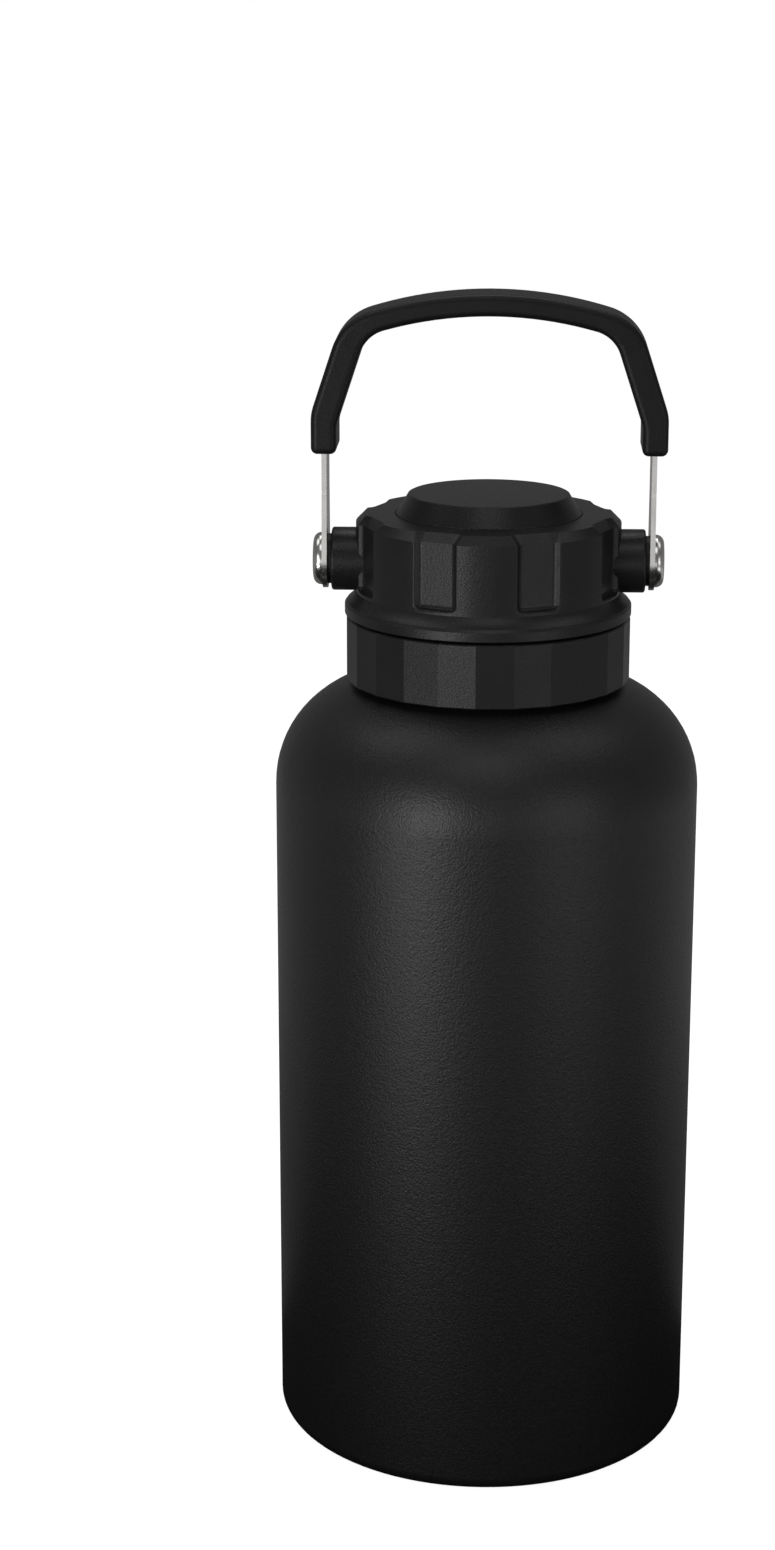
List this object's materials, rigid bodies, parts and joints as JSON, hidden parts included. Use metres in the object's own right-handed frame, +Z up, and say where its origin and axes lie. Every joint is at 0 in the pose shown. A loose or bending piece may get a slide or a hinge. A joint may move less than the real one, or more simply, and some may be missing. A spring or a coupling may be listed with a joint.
{
  "type": "insulated growler",
  "caption": "Vacuum-insulated steel growler with a faceted screw-on pouring collar, a lobed screw cap and a swinging bail handle with a moulded grip.",
  "frame": {"origin": "centre of the foot ring, on the surface the growler stands on", "axes": "+Z up along the bottle's axis, X along the bail handle's pivot axis, -Y towards the front"},
  "size_m": [0.12, 0.12, 0.3319],
  "materials": {
    "powder_coat": "satin black powder coat with a fine orange-peel texture",
    "collar_coat": "satin black with a fine moulded grain, flat facets",
    "cap_plastic": "black moulded plastic with a fine spark-eroded grain",
    "grip_plastic": "black moulded grip with a fine matt grain",
    "insert_plastic": "smooth black food-grade polypropylene",
    "bush_nylon": "plain black nylon",
    "stainless": "plain drawn stainless steel, brushed round the axis",
    "strap_steel": "satin stainless strip, grain along its length",
    "polished_steel": "polished stainless steel",
    "silicone": "translucent grey silicone",
    "foam": "white closed-cell foam",
    "brass": "turned brass",
    "getter_steel": "dull pressed nickel-steel",
    "solder": "dull grey sealing bead"
  },
  "bodies": {
    "bottle": {"outer_shell": "powder_coat", "base_pan": "stainless", "vacuum_plug": "solder", "base_cover": "stainless", "getter_capsule": "getter_steel", "inner_wall": "stainless", "inner_base": "stainless", "neck_ring": "stainless"},
    "collar_seal": {"collar_gasket": "silicone"},
    "collar": {"collar_shell": "collar_coat", "collar_insert": "insert_plastic"},
    "cap_seal": {"cap_gasket": "silicone"},
    "cap": {"cap_shell": "cap_plastic", "cap_crown": "cap_plastic", "cap_insulation": "foam", "cap_liner": "insert_plastic", "boss_insert_left": "brass", "boss_insert_right": "brass", "pivot_screw_left": "polished_steel", "pivot_screw_right": "polished_steel"},
    "handle": {"bail_strap": "strap_steel", "handle_grip": "grip_plastic", "pivot_bush_left": "bush_nylon", "pivot_bush_right": "bush_nylon"}
  },
  "joints": [
    {"name": "collar_rise", "type": "slide", "parent": "bottle", "child": "collar_seal", "axis": [0, 0, 1], "range_m": [0, 0.01]},
    {"name": "collar_turn", "type": "hinge", "parent": "collar_seal", "child": "collar", "pos_m": [0, 0, 0.233], "axis": [0, 0, 1], "range_deg": [0, 720]},
    {"name": "cap_rise", "type": "slide", "parent": "collar", "child": "cap_seal", "axis": [0, 0, 1], "range_m": [0, 0.01]},
    {"name": "cap_turn", "type": "hinge", "parent": "cap_seal", "child": "cap", "pos_m": [0, 0, 0.257], "axis": [0, 0, 1], "range_deg": [0, 720]},
    {"name": "handle_swing", "type": "hinge", "parent": "cap", "child": "handle", "pos_m": [0, 0, 0.2574], "axis": [1, 0, 0], "range_deg": [-122, 122]}
  ],
  "couplings": [
    {"joint": "collar_rise", "follows": "collar_turn", "m_per_rad": 0.00079577},
    {"joint": "cap_rise", "follows": "cap_turn", "m_per_rad": 0.00079577}
  ]
}
